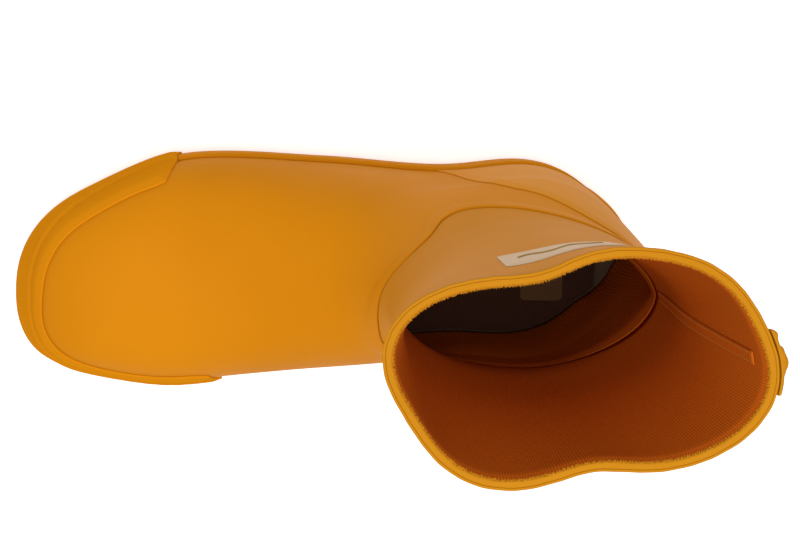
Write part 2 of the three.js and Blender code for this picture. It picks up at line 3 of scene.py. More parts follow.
import bpy
import numpy as np
from mathutils import Euler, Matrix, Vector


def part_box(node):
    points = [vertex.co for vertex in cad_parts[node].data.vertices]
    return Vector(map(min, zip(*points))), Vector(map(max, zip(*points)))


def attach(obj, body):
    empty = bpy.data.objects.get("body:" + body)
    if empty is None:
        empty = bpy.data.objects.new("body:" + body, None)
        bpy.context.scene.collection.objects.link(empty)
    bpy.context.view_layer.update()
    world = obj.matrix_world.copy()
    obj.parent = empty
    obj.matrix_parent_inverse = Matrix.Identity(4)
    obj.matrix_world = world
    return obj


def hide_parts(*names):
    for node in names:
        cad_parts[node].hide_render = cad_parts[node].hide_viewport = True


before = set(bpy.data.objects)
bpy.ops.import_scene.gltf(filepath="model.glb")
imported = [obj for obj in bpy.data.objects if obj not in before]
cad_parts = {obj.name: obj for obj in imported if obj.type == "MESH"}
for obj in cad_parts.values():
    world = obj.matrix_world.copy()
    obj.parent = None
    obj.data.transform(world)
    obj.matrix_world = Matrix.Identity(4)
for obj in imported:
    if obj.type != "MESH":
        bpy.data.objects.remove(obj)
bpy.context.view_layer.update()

# THE LAST
# The boot is laid up over a foot-shaped form. Everything below is wrapped round that form: a
# foot with a domed toe, blended at the ankle into an upright leg with squarer corners upwards.
# Its sizes are in millimetres from the heel; place() gives them back in the frame's metres.
mm = 0.001
boot_length = 291.0
boot_height = 255.0
feather_line = 24.0
toe_spring = 5.0
toe_lean = 8.0
toe_bend = 0.704
tread_depth = 4.0
ball_width, rim_width = 108.0, 79.0
foxing_wall, gap, bead_bulge = 2.0, 0.3, 0.6
heel_back, heel_end, heel_power = 2.0, 40.0, 2.2
dome_start, toe_power = 0.773, 2.3
section_power = 2.35
ankle_blend = 34.0


def curve(*points):
    """A smooth line through (place, value) points, level beyond its ends."""
    x, y = np.array(points, float).T
    h = np.diff(x)
    rise = np.diff(y) / h
    m = np.empty_like(y)
    m[0], m[-1] = rise[0], rise[-1]
    m[1:-1] = (rise[:-1] * h[1:] + rise[1:] * h[:-1]) / (h[:-1] + h[1:])

    def at(v):
        v = np.clip(v, x[0], x[-1])
        i = np.clip(np.searchsorted(x, v) - 1, 0, len(x) - 2)
        t = (v - x[i]) / h[i]
        s = 1 - t
        start = (1 + 2 * t) * s * s * y[i] + t * s * s * h[i] * m[i]
        return start + t * t * (3 - 2 * t) * y[i + 1] - t * t * s * h[i] * m[i + 1]

    return at


def along(*points):
    """A curve through points at shares of the boot's length."""
    return curve(*((share * boot_length, value) for share, value in points))


# The opening is drawn out lengthwise and has gone a little out of true: (order, cosine, sine).
rim_waves = ((2, 4.3, -1.2), (3, 0.7, 0.9), (4, 0.6, -1.2), (5, 0.2, -1.1))
ball_half = ball_width / 2 - foxing_wall - gap
rim_half = rim_width / 2 - bead_bulge + rim_waves[0][1]
half_width = along((0, 14), (0.155, 43), (0.326, 41.7), (0.515, 47), (0.739, ball_half),
                   (0.893, 49.4), (1, 57))
middle_line = along((0, -5), (0.155, -3), (0.326, -0.8), (0.515, 1.3), (0.739, 5.7),
                    (0.893, 13.2), (1, 20.2))
ridge = along((0, 95), (0.206, 112), (0.344, 110), (0.447, 98), (0.55, 82), (0.653, 69),
              (0.756, 60), (0.859, 54), (1, 50))
back_line = curve((0, 6), (22, 6.3), (60, 22.8), (95, 15), (130, 9.9), (180, 9.7), (255, 3))
front_line = curve((0, 90), (22, 105), (60, 110), (95, 124), (130, 128), (180, 129.5),
                   (255, 131.6))
leg_half_width = curve((0, 33), (22, 35), (60, 28.5), (95, 33.7), (130, 35.3), (180, 35.5),
                       (255, rim_half))
leg_middle = curve((0, -4.5), (60, -2.5), (130, -2.2), (255, -3.25))
leg_turn = curve((0, 0), (60, 0), (130, 3), (255, 16))
leg_slant = curve((0, 90), (60, 90), (130, 96), (255, 112.5))
leg_corner = curve((0, 2), (60, 2), (130, 1.9), (200, 2.4), (255, 2.75))


def eased(t):
    """A share from 0 to 1, slow at both ends."""
    return t * t * (3 - 2 * t)


def rounded_off(t, power):
    """1 falling to 0 along a rounded end, as t goes from 0 to 1."""
    return np.maximum(1 - np.clip(t, 0, 1) ** power, 1e-9) ** (1 / power)


def outside(x, y, z):
    """Roughly the distance out of the last's face, negative inside it."""
    heel = rounded_off((heel_end - x) / (heel_end - heel_back), heel_power)
    heel = heel * (0.9 + 0.1 * np.clip(x / 90, 0, 1))
    up = np.clip((z - tread_depth) / (feather_line - tread_depth), 0, 1)
    toe_end = boot_length - toe_lean * up
    bend, dome = toe_bend * boot_length, dome_start * boot_length
    wide = half_width(x) * rounded_off((x - bend) / (toe_end - bend), toe_power) * heel
    tall = (ridge(x) - feather_line) * rounded_off((x - dome) / (toe_end - dome), toe_power)
    under = np.maximum(feather_line - z, 0) / feather_line
    wide = wide * (1 - 0.045 * under**2)
    v = np.abs(y - middle_line(x))
    w = np.maximum(z - feather_line, 0)
    rho = ((v / wide) ** section_power + (w / tall) ** section_power) ** (1 / section_power)
    rho = np.maximum(rho, 1e-6)
    foot = np.hypot(v, w) * (1 - 1 / rho)
    foot = np.where((x >= toe_end) | (x <= heel_back), np.maximum(50, foot), foot)
    back, front = back_line(z), front_line(z)
    t1, t2 = np.radians(leg_turn(z)), np.radians(leg_slant(z))
    dx, dy = x - (back + front) / 2, y - leg_middle(z)
    det = np.sin(t2 - t1)
    p = np.abs(dx * np.sin(t2) - dy * np.cos(t2)) / det / ((front - back) / 2)
    q = np.abs(dy * np.cos(t1) - dx * np.sin(t1)) / det / leg_half_width(z)
    n = leg_corner(z)
    leg = np.hypot(dx, dy) * (1 - 1 / np.maximum((p**n + q**n) ** (1 / n), 1e-6))
    spread = np.clip((z - 150) / (boot_height - 150), 0, 1) ** 2
    angle = np.arctan2(dy, dx)
    for order, cosine, sine in rim_waves:
        leg = leg - spread * (cosine * np.cos(order * angle) + sine * np.sin(order * angle))
    blend = ankle_blend * np.clip((z - 20) / 50, 0.02, 1)
    near = np.maximum(blend - np.abs(foot - leg), 0) / blend
    return np.minimum(foot, leg) - near * near * blend / 4


def outlines(level_step=1.5, rays=720):
    """Each level's outline at even steps round it, from the back of the heel by the outer side."""
    z = np.arange(0, boot_height + 2 * level_step, level_step)[:, None]
    up = eased(np.clip((z - 30) / 75, 0, 1))
    cx, cy = 145 - 79 * up, -3 - 4 * up
    angle = np.linspace(-math.pi, math.pi, rays + 1)[None, :]
    lo = np.zeros((len(z), rays + 1))
    hi = np.full_like(lo, 235.0)
    for _ in range(30):
        r = (lo + hi) / 2
        inside = outside(cx + r * np.cos(angle), cy + r * np.sin(angle), z) < 0
        lo, hi = np.where(inside, r, lo), np.where(inside, hi, r)
    x, y = cx + lo * np.cos(angle), cy + lo * np.sin(angle)
    even = np.linspace(0, 1, rays // 2 + 1)
    table = np.empty((len(z), rays + 1, 2))
    around = np.empty(len(z))
    for k in range(len(z)):
        total = 0
        for first, last in ((0, rays // 2), (rays // 2, rays)):
            px, py = x[k, first : last + 1], y[k, first : last + 1]
            run = np.concatenate([[0], np.cumsum(np.hypot(np.diff(px), np.diff(py)))])
            table[k, first : last + 1, 0] = np.interp(even * run[-1], run, px)
            table[k, first : last + 1, 1] = np.interp(even * run[-1], run, py)
            total += run[-1]
        around[k] = total
    return level_step, table, around


level_step, level_table, level_around = outlines()


def around_at(z):
    """The way round the last at height z, in millimetres."""
    return np.interp(z, np.arange(len(level_around)) * level_step, level_around)


def on_face(u, z):
    """x and y on the last's face, at a share u of the way round it and at height z."""
    u, z = np.broadcast_arrays(np.mod(u, 1.0), np.asarray(z, float))
    rays = level_table.shape[1] - 1
    i = np.clip((z / level_step).astype(int), 0, len(level_table) - 2)
    j = np.clip((u * rays).astype(int), 0, rays - 1)
    t = (z / level_step - i)[..., None]
    s = (u * rays - j)[..., None]
    low = level_table[i, j] * (1 - s) + level_table[i, j + 1] * s
    high = level_table[i + 1, j] * (1 - s) + level_table[i + 1, j + 1] * s
    xy = low * (1 - t) + high * t
    x, y = xy[..., 0], xy[..., 1]
    h = 0.05
    for _ in range(3):
        f = outside(x, y, z)
        gx = (outside(x + h, y, z) - f) / h
        gy = (outside(x, y + h, z) - f) / h
        step = np.clip(f / np.maximum(gx * gx + gy * gy, 1e-3), -1.5, 1.5)
        x, y = x - gx * step, y - gy * step
    return x, y


def face_normal(x, y, z):
    """The way out of the face; level beside the sole and at the rim, where the edges lie flat."""
    h = 0.4
    n = np.stack([
        outside(x + h, y, z) - outside(x - h, y, z),
        outside(x, y + h, z) - outside(x, y - h, z),
        outside(x, y, z + h) - outside(x, y, z - h),
    ], -1)
    keep = np.where(z < feather_line, 0, np.clip((boot_height - 6 - z) / 15, 0, 1))
    n[..., 2] *= keep
    return n / np.linalg.norm(n, axis=-1, keepdims=True)


def local_place(u, z, offset):
    x, y = on_face(u, z)
    z = np.broadcast_to(z, x.shape)
    p = np.stack([x, y, z], -1) + face_normal(x, y, z) * np.asarray(offset, float)[..., None]
    bend = toe_bend * boot_length
    p[..., 2] += toe_spring * np.clip((p[..., 0] - bend) / (boot_length - bend), 0, 1) ** 2
    return p


# The sole edge band's box says where the last stands in the frame.
band_low, band_high = (np.array(corner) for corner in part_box("foxing_band"))
band_z = np.arange(tread_depth - 0.7, feather_line, 1.5)[:, None]
band_face = local_place(np.linspace(0, 1, 721), band_z, gap + foxing_wall).reshape(-1, 3)
heel_point = (band_low + band_high) / 2 - (band_face.min(0) + band_face.max(0)) / 2 * mm
heel_point[2] = 0


def place(u, z, offset=0.0):
    """The point at a share u round the last and height z, out of its face by offset."""
    return local_place(u, z, offset) * mm + heel_point


def u_at(x, z, side):
    """The share round the last where the outer (-1) or inner (1) side reaches x."""
    x, z = np.broadcast_arrays(np.asarray(x, float), np.asarray(z, float))
    lo, hi = np.zeros(x.shape), np.full(x.shape, 0.5)
    for _ in range(18):
        mid = (lo + hi) / 2
        short = on_face(mid if side < 0 else 1 - mid, z)[0] < x
        lo, hi = np.where(short, mid, lo), np.where(short, hi, mid)
    return (lo + hi) / 2 if side < 0 else 1 - (lo + hi) / 2


# THE VAMP
# The lower shell, from the sole to the ankle: calendered natural rubber, 1.8 mm thick, cured on
# the last. Its top margin laps over the leg panel, and the cut edge is pressed to a soft lip.
vamp_wall = 1.8
lip_proud = 0.715
lip_radius = 0.5
lip_skirt = 0.15
ankle_seam = curve(
    (0, 124), (0.1, 124), (0.17, 121.5), (0.23, 115.5), (0.27, 109.5), (0.3, 105), (0.335, 103),
    (0.365, 107), (0.4, 117), (0.45, 121.8), (0.5, 117), (0.56, 104.5), (0.6, 96), (0.64, 93),
    (0.69, 94.5), (0.78, 103), (0.88, 116), (1, 124),
)
honey = (0.64, 0.225, 0.004, 1)
honey_deep = (0.54, 0.185, 0.003, 1)


def seam_at(u):
    return ankle_seam(np.mod(u, 1.0))


def columns(count):
    """Shares of the way round, closer together at the toe and the heel."""
    s = np.arange(count) / count
    return s - 0.35 * np.sin(4 * math.pi * s) / (4 * math.pi)


def rolled(distance, radius):
    """How full an edge is, this far in from it: a quarter round."""
    d = np.clip(distance / radius, 0, 1)
    return np.sqrt(np.maximum(1 - (1 - d) ** 2, 0))


def make_mesh(name, verts, faces, uvs, material):
    """A smooth-shaded object at the origin, with one uv for each corner of each face."""
    mesh = bpy.data.meshes.new(name)
    mesh.from_pydata(verts.tolist(), [], faces.tolist())
    layer = mesh.uv_layers.new(name="wrap")
    layer.data.foreach_set("uv", np.asarray(uvs, float).ravel())
    mesh.polygons.foreach_set("use_smooth", [True] * len(mesh.polygons))
    mesh.materials.append(material)
    mesh.validate()
    mesh.update()
    piece = bpy.data.objects.new(name, mesh)
    bpy.context.collection.objects.link(piece)
    return piece


def sheet(name, u, z, outer, inner, material, closed=True, wales=350):
    """A curved sheet of material: grids of places round the last and heights, and its two faces.
    The uv counts wales round the boot, and millimetres up it."""
    u, z, outer, inner = np.broadcast_arrays(*(np.asarray(v, float) for v in (u, z, outer, inner)))
    rows, cols = u.shape
    verts = np.concatenate([place(u, z, outer), place(u, z, inner)]).reshape(-1, 3)
    index = np.arange(2 * rows * cols).reshape(2, rows, cols)
    wide = np.concatenate([index, index[:, :, :1]], 2) if closed else index
    u_wide = np.concatenate([u, u[:, :1] + 1], 1) if closed else u
    z_wide = np.concatenate([z, z[:, :1]], 1) if closed else z
    uv = np.stack([u_wide * wales, z_wide], -1)

    def quads(grid, marks, flip):
        corners = [grid[:-1, :-1], grid[:-1, 1:], grid[1:, 1:], grid[1:, :-1]]
        places = [marks[:-1, :-1], marks[:-1, 1:], marks[1:, 1:], marks[1:, :-1]]
        if flip:
            corners, places = corners[::-1], places[::-1]
        return np.stack(corners, -1).reshape(-1, 4), np.stack(places, -2).reshape(-1, 4, 2)

    parts = [quads(wide[0], uv, False), quads(wide[1], uv, True)]
    top = np.stack([wide[0, -1], wide[1, -1]])
    base = np.stack([wide[0, 0], wide[1, 0]])
    parts.append(quads(top, np.stack([uv[-1], uv[-1]]), False))
    parts.append(quads(base, np.stack([uv[0], uv[0]]), True))
    if not closed:
        left = np.stack([index[0, :, 0], index[1, :, 0]])
        right = np.stack([index[0, :, -1], index[1, :, -1]])
        parts.append(quads(left, np.stack([uv[:, 0], uv[:, 0]]), False))
        parts.append(quads(right, np.stack([uv[:, -1], uv[:, -1]]), True))
    faces = np.concatenate([p[0] for p in parts])
    return make_mesh(name, verts, faces, np.concatenate([p[1] for p in parts]), material)


def node_maker(tree):
    """Adds nodes by type, setting sockets by name or number, and links them."""

    def add(kind, sets=None, **props):
        node = tree.nodes.new(kind)
        for key, value in props.items():
            setattr(node, key, value)
        for key, value in (sets or {}).items():
            if isinstance(value, bpy.types.NodeSocket):
                tree.links.new(value, node.inputs[key])
            else:
                node.inputs[key].default_value = value
        return node

    return add


def new_material(name, roughness, **sockets):
    """A principled material with its plain values set on the shader's own sockets."""
    material = bpy.data.materials.new(name)
    material.use_nodes = True
    shader = material.node_tree.nodes["Principled BSDF"]
    shader.inputs["Roughness"].default_value = roughness
    for key, value in sockets.items():
        shader.inputs[key.replace("_", " ")].default_value = value
    return material, shader, node_maker(material.node_tree)


def rubber(name, light, deep, roughness=0.55, shine=0.03):
    """Cured rubber: cloudy colour, a dull bloom in patches and a fine skin."""
    material, shader, add = new_material(name, roughness, Specular_IOR_Level=shine)
    spot = add("ShaderNodeTexCoord").outputs["Object"]
    cloud = add("ShaderNodeTexNoise", {"Vector": spot, "Scale": 14.0, "Detail": 3.0})
    speck = add("ShaderNodeTexNoise", {"Vector": spot, "Scale": 420.0, "Detail": 4.0})
    blend = add("ShaderNodeMix", data_type="RGBA", blend_type="MIX")
    tree = material.node_tree
    tree.links.new(cloud.outputs["Fac"], blend.inputs["Factor"])
    for socket in blend.inputs:
        if socket.type == "RGBA":
            socket.default_value = light if socket.name == "A" else deep
    colour = next(output for output in blend.outputs if output.type == "RGBA")
    tree.links.new(colour, shader.inputs["Base Color"])
    bloom = add("ShaderNodeMapRange", {
        "Value": cloud.outputs["Fac"], "From Min": 0.3, "From Max": 0.7,
        "To Min": roughness - 0.05, "To Max": roughness + 0.09,
    })
    tree.links.new(bloom.outputs["Result"], shader.inputs["Roughness"])
    skin = add("ShaderNodeBump", {
        "Height": speck.outputs["Fac"], "Strength": 0.12, "Distance": 0.0003,
    })
    tree.links.new(skin.outputs["Normal"], shader.inputs["Normal"])
    return material


def settle(piece, slot, *nodes, body="boot"):
    """The piece rides on its body and stands for its solids, which it hides; slot is not used."""
    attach(piece, body)
    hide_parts(*nodes)


vamp_rubber = rubber("vamp_rubber", honey, honey_deep)


def make_vamp():
    u = columns(320)
    low = np.concatenate([[9, 14, 19, 23, 26, 29, 32, 35, 37.5], np.arange(39.5, 62, 0.9),
                          np.arange(62, 80, 1.8), [80]])
    seam = seam_at(u)
    drop = np.array([9, 8.5, 8, 7, 6, 5, 4, 3, 2.2, 1.6, 1.2, 0.9, 0.65, 0.45, 0.28, 0.14, 0.05, 0])
    rise = np.linspace(0, 1, 18)[1:-1, None]
    z = np.concatenate([low[:, None] + 0 * u, 80 + rise * (seam - drop[0] - 80),
                        seam - drop[:, None]])
    proud = lip_proud * eased(np.clip((drop[0] - drop) / 5, 0, 1))
    outer, inner = np.zeros(z.shape), np.full(z.shape, -vamp_wall)
    lip = (proud + lip_skirt) * rolled(drop + 0.01, lip_radius) - lip_skirt
    outer[-len(drop):] = lip[:, None]
    inner[2 - len(drop):] = -lip_skirt - 0.05
    return sheet("vamp_shell", u[None, :], z, outer, inner, vamp_rubber)


settle(make_vamp(), "rubber", "vamp")

# THE LEG PANEL
# A second sheet wrapped round the leg, its lower margin skived thin and tucked in behind the
# vamp's lip, so that the joint reads as a bright lip with a dark crease above it.
bead_height = 3.6
bead_base = boot_height - bead_height
margin_thin = 0.5
leg_rubber = rubber("leg_rubber", (0.58, 0.215, 0.010, 1), (0.50, 0.185, 0.008, 1), 0.6, 0.05)


def make_leg():
    u = columns(300)
    seam = seam_at(u)
    lower = seam + np.array([-8, -4, -0.6, 0, 0.3, 0.6, 0.9, 1.2, 1.6, 2.4, 4, 6])[:, None]
    top = bead_base - gap
    rise = np.linspace(0, 1, 46)[1:, None]
    upper = lower[-1] + rise * (top - 1.2 - lower[-1])
    lip = np.array([0.5, 0.9, 1.2])[:, None] + top - 1.2 + 0 * u
    z = np.concatenate([lower, upper, lip])
    outer = -margin_thin * (1 - np.clip((z - seam + 0.1) / 0.6, 0, 1))
    outer[-3:] -= np.array([0.05, 0.2, 0.5])[:, None]
    return sheet("leg_panel", u[None, :], z, outer, -vamp_wall, leg_rubber)


settle(make_leg(), "rubber", "leg")

# THE SOLE EDGE BAND
# A 2 mm foxing strip cemented round the joint of the upper and the outsole, with a soft rolled
# top edge and a faint line pressed in by the stitching wheel above the sole.
foxing_height = 24.0
seat = 0.05
wheel_line, wheel_depth = 9.5, 0.35
band_rubber = rubber("band_rubber", (0.64, 0.225, 0.005, 1), (0.54, 0.185, 0.004, 1), 0.6, 0.01)


def even_ends(count):
    """Shares from 0 to 1, crowded at both ends."""
    return (1 - np.cos(math.pi * np.arange(count) / (count - 1))) / 2


def make_foxing():
    u = columns(320)
    base = tread_depth - 0.7
    z = base + (foxing_height - base) * even_ends(34)[:, None] + 0 * u
    inset = np.minimum(z - base, foxing_height - z)
    press = wheel_depth * np.exp(-(((z - wheel_line) / 0.5) ** 2))
    outer = seat + foxing_wall * rolled(inset + 0.02, 1.1) - press
    return sheet("sole_edge_band", u[None, :], z, outer, seat, band_rubber)


settle(make_foxing(), "rubber", "foxing_band")

# THE TOE CAP
# A bumper wrapped round the toe over the sole edge band, so the band's top edge shows through it
# as a soft ridge. Its top line climbs from the tip to both ends, which lean a little forward.
toe_cap_wall = 1.8
cap_tip = 33.5
outer_end, inner_end, end_slope = 219.0, 198.0, 3.0
cap_high = 46.0
outer_top = curve((219, 38.5), (220, 41.4), (222, 43), (225, 43.6), (237, 42.4), (261, 38.9),
                  (273, 36.5), (281, cap_tip))
inner_top = curve((198, 38), (199, 41.4), (202, 43), (212, 44), (226, 40.5), (241, 37.5), (266, 36),
                  (281, cap_tip))
cap_rubber = rubber("cap_rubber", (0.66, 0.235, 0.005, 1), (0.56, 0.195, 0.004, 1), 0.6, 0.0)


def edge_distance(points, border):
    """How far each point is from the nearest border point, in millimetres."""
    flat = points.reshape(-1, 3)
    best = np.full(len(flat), np.inf)
    for some in np.array_split(border, max(1, len(border) // 40)):
        gaps = np.linalg.norm(flat[:, None, :] - some[None, :, :], axis=2).min(1)
        best = np.minimum(best, gaps)
    return best.reshape(points.shape[:2]) / mm


def finer(line, times=6):
    """A line of points with more points between them."""
    t = np.linspace(0, 1, times, endpoint=False)[None, :, None]
    between = line[:-1, None] * (1 - t) + line[1:, None] * t
    return np.concatenate([between.reshape(-1, 3), line[-1:]])


def patch(name, u, z, under, wall, radius, material):
    """A patch laid on the last, rolled at its edges and feathered towards them."""
    p = place(u, z, under)
    lines = [p[-1], p[:, 0], p[:, -1], p[0]]
    inset = edge_distance(p, np.concatenate([finer(line) for line in lines]))
    swell = eased(np.clip(inset / (4 * radius), 0, 1))
    full = 0.5 * rolled(inset + 0.02, radius / 2) + 0.5 * swell
    return sheet(name, u, z, under + wall * full, under, material, closed=False)


def make_toe_cap():
    across = even_ends(260)[None, :]
    t = even_ends(76)[:, None]
    side_z = tread_depth + (cap_high - tread_depth) * t
    end_lean = end_slope * (1 - np.clip(side_z / 40, 0, 1))
    left, right = u_at(outer_end - end_lean, side_z, -1), u_at(inner_end - end_lean, side_z, 1)
    u = left + (right - left) * across
    top_x, top_y = on_face(u[-8], 42.0)
    turn = eased(np.clip((top_y - middle_line(boot_length)) / 24 + 0.5, 0, 1))
    top = outer_top(top_x) * (1 - turn) + inner_top(top_x) * turn
    z = tread_depth + (top[None, :] - tread_depth) * t
    over_band = foxing_wall + 2 * seat
    fall = eased(np.clip((z - foxing_height - gap) / 2.6, 0, 1))
    under = over_band + (seat - over_band) * fall
    return patch("toe_bumper", u, z, under, toe_cap_wall, 1.3, cap_rubber)


settle(make_toe_cap(), "rubber", "toe_cap")

# THE HEEL PATCH
# A rubber counter wrapped round the heel, from the sole edge band up to just under the vamp's
# lip at the back, and swept down to the band at the waist of the foot.
counter_wall = 1.2
counter_side = curve((24.3, 98), (35, 92), (51, 87), (67, 81), (81.5, 71))
counter_top = curve((-20, 115), (20, 114), (40, 109), (50, 101), (60, 91.5), (71, 81.5))
heel_rubber = rubber("heel_rubber", (0.66, 0.25, 0.014, 1), (0.58, 0.21, 0.010, 1), 0.5)


def make_counter():
    across = 2 * even_ends(220)[None, :] - 1
    t = even_ends(90)[:, None]
    base, shoulder = foxing_height + gap, 81.5
    side_z = base + (shoulder - base) * t
    x_end = counter_side(side_z)
    left = u_at(x_end, side_z, -1)
    right = u_at(x_end, side_z, 1) - 1
    u = np.where(across < 0, -across * left, across * right)
    top = np.full(u.shape[1], 100.0)
    for _ in range(12):
        top = (top + counter_top(on_face(u[-1], top)[0])) / 2
    z = side_z + (top[None, :] - shoulder) * t**1.5
    return patch("heel_patch", u[:, ::-1], z[:, ::-1], np.full(z.shape, seat), counter_wall, 1.2,
                 heel_rubber)


settle(make_counter(), "rubber", "heel_counter")

# THE ROLLED RIM
# A bead of rubber that binds the top of the leg: a smooth outer lip, a thin crease, and a rough
# inner hem where the rolled edge was trimmed. The lining's raw edge ends just under the hem.
rim_rubber = rubber("rim_rubber", (0.52, 0.21, 0.007, 1), (0.43, 0.165, 0.005, 1), 0.55)


def ring(name, u, section, material, wander=0.0):
    """A closed ring round the last: section gives (offset, height) points, clockwise up."""
    offset, height = np.array(section, float).T
    turns = u * 2 * math.pi
    drift = np.sin(turns * 23 + 1) + np.sin(turns * 41) + np.sin(turns * 9)
    middle = offset.mean()
    spread = offset[:, None] + wander * drift[None, :] * np.sign(offset - middle)[:, None] / 3
    points = place(u[None, :], height[:, None], spread)
    count = len(section)
    index = np.arange(count * len(u)).reshape(count, len(u))
    wide = np.concatenate([index, index[:1]])
    wide = np.concatenate([wide, wide[:, :1]], 1)
    faces = np.stack([wide[:-1, :-1], wide[:-1, 1:], wide[1:, 1:], wide[1:, :-1]], -1)
    faces = faces.reshape(-1, 4)
    return make_mesh(name, points.reshape(-1, 3), faces, np.zeros((len(faces), 4, 2)), material)


def rounded_box(low, high, base, top, radii, steps=6):
    """Corner-rounded section points, up the outer side and down the inner one."""
    corners = ((high, base, -1), (high, top, 0), (low, top, 1), (low, base, 2))
    points = []
    for (x, z, quarter), r in zip(corners, radii):
        cx = x - r if x == high else x + r
        cz = z + r if z == base else z - r
        for k in range(steps + 1):
            angle = (quarter + k / steps) * math.pi / 2
            points.append((cx + r * math.cos(angle), cz + r * math.sin(angle)))
    return points


def make_bead():
    """The lip's three outer corners, the crease, the hem's three inner ones, and the foot."""
    crease, hem, hem_base, corner = -0.55, -3.0, boot_height - 1.6, 7
    lip = rounded_box(crease, bead_bulge, bead_base, boot_height, (0.5, 0.55, 0.35, 0.0))
    band = rounded_box(hem, crease - 0.1, hem_base, boot_height - 0.1, (0.0, 0.25, 0.6, 0.4))
    section = lip[: 3 * corner] + [(crease - 0.05, boot_height - 0.5)] + band[corner:]
    section += [(-vamp_wall, hem_base), (-vamp_wall, bead_base)]
    return ring("rolled_rim", columns(960), section, rim_rubber, wander=0.12)


settle(make_bead(), "rubber", "collar_bead")

# THE BACK STAY
# A strip of thicker rubber up the back of the leg panel and over the rim's bead, with a raised
# rib along its middle that takes the toe of the other boot when this one is pulled off.
stay_width = 24.0
stay_wall = 1.6
rib_width = 8.5
rib_height = 1.8
stay_low = 129.0


def make_stay():
    low, high = stay_low, boot_height - gap
    z = low + (high - low) * even_ends(100)[:, None]
    w = stay_width * (even_ends(80)[None, :] - 0.5)
    u = w / around_at(z)
    lift = np.clip((z - bead_base + 1.6) / 1.6, 0, 1) * bead_bulge
    under = 2 * gap + lift
    ends = np.minimum(z - low, high - z)
    sides = stay_width / 2 - np.abs(w)
    shoulder = rolled(np.minimum(sides, ends) + 0.03, 1.3)
    bow = np.cos(math.pi / 2 * np.clip(np.abs(w) / (rib_width / 2 + 1.0), 0, 1)) ** 0.7
    rib = rib_height * bow * rolled(ends + 0.03, 2.0)
    edge_lump = 0.7 * np.exp(-(((w - stay_width / 2 + 2.2) / 1.3) ** 2))
    edge_lump = edge_lump * rolled(ends + 0.03, 1.5)
    ripple = 0.3 * np.sin(z * 1.7 + np.sin(w * 0.9) * 1.4) * np.clip(rib, 0, 1)
    outer = under + stay_wall * shoulder + rib + edge_lump + ripple
    return sheet("back_stay_strip", u, z, outer, under, rim_rubber, closed=False)


settle(make_stay(), "rubber", "back_stay")

# THE LININGS
# A ribbed knit, bonded to the rubber and cut in two lengths that meet at the ankle. The wales
# run up the leg about a millimetre apart; the top edge is raw and soaked with rubber.
lining_wall = 1.8
wale_count = 340
inside_vamp = -vamp_wall - gap
leg_face = inside_vamp - lining_wall
stiffener_wall = 0.8
foot_face = inside_vamp - stiffener_wall - gap
lining_top = boot_height - 1.7
# The light colour is the yarn on the ridges; the deep one is painted shade in the grooves.
knit_light = (0.58, 0.125, 0.007, 1)
knit_groove_shade = (0.43, 0.082, 0.005, 1)


def maths_maker(add):
    """Adds maths nodes: an operation on one or two numbers or sockets."""

    def maths(kind, *values):
        return add("ShaderNodeMath", dict(enumerate(values)), operation=kind).outputs[0]

    return maths


def knit(name, light, deep):
    """Ribbed knit: wales across the uv's first count, courses of loops up its second; the grooves
    between them take the darker colour as painted shade.
    """
    material, shader, add = new_material(name, 0.95, Specular_IOR_Level=0.05)
    tree = material.node_tree
    maths = maths_maker(add)
    course = 1.3
    uv = add("ShaderNodeUVMap", uv_map="wrap").outputs["UV"]
    parts = add("ShaderNodeSeparateXYZ", {"Vector": uv})
    wale = maths("SINE", maths("MULTIPLY", parts.outputs["X"], 2 * math.pi))
    loop = maths("SINE", maths("MULTIPLY", parts.outputs["Y"], 2 * math.pi / course))
    height = maths("ADD", wale, maths("MULTIPLY", loop, 0.35))
    fuzz = add("ShaderNodeTexNoise", {
        "Vector": add("ShaderNodeTexCoord").outputs["Object"], "Scale": 700.0, "Detail": 3.0})
    height = maths("ADD", height, maths("MULTIPLY", fuzz.outputs["Fac"], 1.2))
    # Colour follows the knit's height: the low grooves take the deep colour, a painted shade, and
    # the fuzz noise adds uneven tone.
    shade = add("ShaderNodeMapRange", {"Value": height, "From Min": -0.9, "From Max": 1.9})
    ramp = add("ShaderNodeValToRGB", {"Fac": shade.outputs["Result"]})
    ramp.color_ramp.elements[0].color = deep
    ramp.color_ramp.elements[1].color = light
    tree.links.new(ramp.outputs["Color"], shader.inputs["Base Color"])
    bump = add("ShaderNodeBump", {"Height": height, "Strength": 0.3, "Distance": 0.0003})
    tree.links.new(bump.outputs["Normal"], shader.inputs["Normal"])
    return material


leg_knit = knit("leg_knit", knit_light, knit_groove_shade)


def make_leg_lining():
    u = np.arange(wale_count * 4) / (wale_count * 4)
    low = seam_at(u) + 0.95
    share = np.concatenate([np.linspace(0, 0.95, 24), [0.97, 0.985, 0.995, 1]])[:, None]
    z = low + share * (lining_top - low)
    wales = 0.055 * np.cos(2 * math.pi * wale_count * u)
    ragged = 0.25 * np.sin(u * 2 * math.pi * 57) + 0.2 * np.sin(u * 2 * math.pi * 131 + 1)
    thin = np.clip((z - lining_top + 2.2) / 2.2, 0, 1)
    inner = leg_face + wales * (1 - thin) + thin * (0.9 + 0.3 * ragged)
    z = z + 0.5 * ragged * (share > 0.99)
    return sheet("leg_lining_knit", u[None, :], z, inside_vamp, inner, leg_knit, wales=wale_count)


def make_foot_lining():
    u = columns(300)
    low = np.concatenate([[14.8, 18, 21, 24, 27, 30, 33, 36, 38.5], np.arange(41, 62, 1.5),
                          np.arange(62, 82, 3.0), [82]])
    top = seam_at(u) + 0.9
    rise = np.linspace(0, 1, 18)[1:, None]
    z = np.concatenate([low[:, None] + 0 * u, 82 + rise * (top - 82)])
    merge = eased(np.clip(1 - (top - z) / 10, 0, 1))
    outer = foot_face + (inside_vamp - foot_face) * merge
    return sheet("foot_lining_knit", u[None, :], z, outer, outer - lining_wall, leg_knit)


settle(make_leg_lining(), "lining", "leg_lining")
settle(make_foot_lining(), "lining", "foot_lining")

